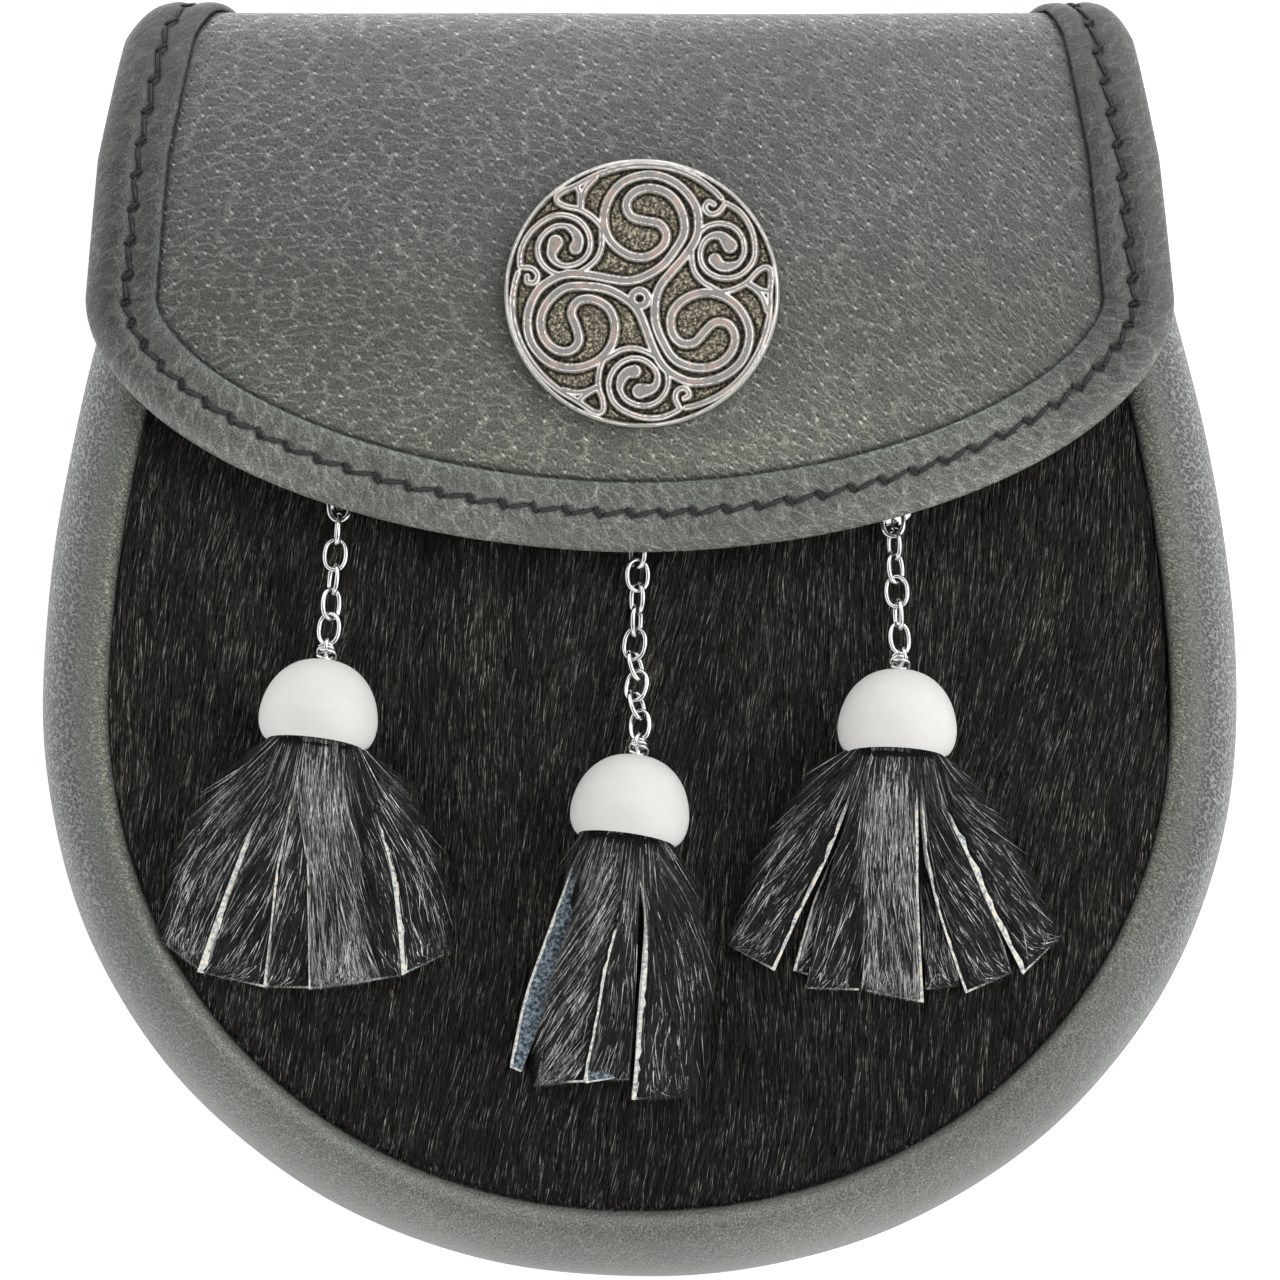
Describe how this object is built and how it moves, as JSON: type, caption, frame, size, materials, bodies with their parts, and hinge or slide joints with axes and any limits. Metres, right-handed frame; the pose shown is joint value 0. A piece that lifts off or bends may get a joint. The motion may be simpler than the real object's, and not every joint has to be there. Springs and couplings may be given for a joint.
{
  "type": "sporran pouch",
  "caption": "Rounded grey leather pouch with a black fur front, a folded flap with a round cast spiral medallion, and chain-hung hide tassels with metal caps.",
  "frame": {"origin": "on the surface that the pouch lies on, under the middle of its outline", "axes": "+X to the right seen from the front, +Y toward the fold at the top of the pouch, +Z out of the front, away from the surface it lies on"},
  "size_m": [0.1912, 0.2032, 0.0539],
  "materials": {
    "grey_leather": "grained, semi-matt",
    "black_fur": "hide with short black fur",
    "haired_hide": "strips of hide with black hair",
    "antique_metal": "cast relief, darkened in the recesses and polished on the bands",
    "polished_metal": "polished"
  },
  "bodies": {
    "root": {"back_and_flap": "grey_leather", "flap_binding": "grey_leather", "gusset": "grey_leather", "front_panel": "black_fur", "medallion": "antique_metal", "closure_stud": "polished_metal", "belt_loop_left": "grey_leather", "belt_loop_right": "grey_leather", "anchor_left": "polished_metal", "link_left_1": "polished_metal", "link_left_2": "polished_metal", "link_left_3": "polished_metal", "link_left_4": "polished_metal", "link_left_5": "polished_metal", "link_left_6": "polished_metal", "eye_left": "polished_metal", "cap_left": "polished_metal", "tassel_left": "haired_hide", "anchor_middle": "polished_metal", "link_middle_1": "polished_metal", "link_middle_2": "polished_metal", "link_middle_3": "polished_metal", "link_middle_4": "polished_metal", "link_middle_5": "polished_metal", "link_middle_6": "polished_metal", "link_middle_7": "polished_metal", "link_middle_8": "polished_metal", "link_middle_9": "polished_metal", "link_middle_10": "polished_metal", "eye_middle": "polished_metal", "cap_middle": "polished_metal", "tassel_middle": "haired_hide", "anchor_right": "polished_metal", "link_right_1": "polished_metal", "link_right_2": "polished_metal", "link_right_3": "polished_metal", "link_right_4": "polished_metal", "link_right_5": "polished_metal", "link_right_6": "polished_metal", "eye_right": "polished_metal", "cap_right": "polished_metal", "tassel_right": "haired_hide"}
  },
  "joints": []
}
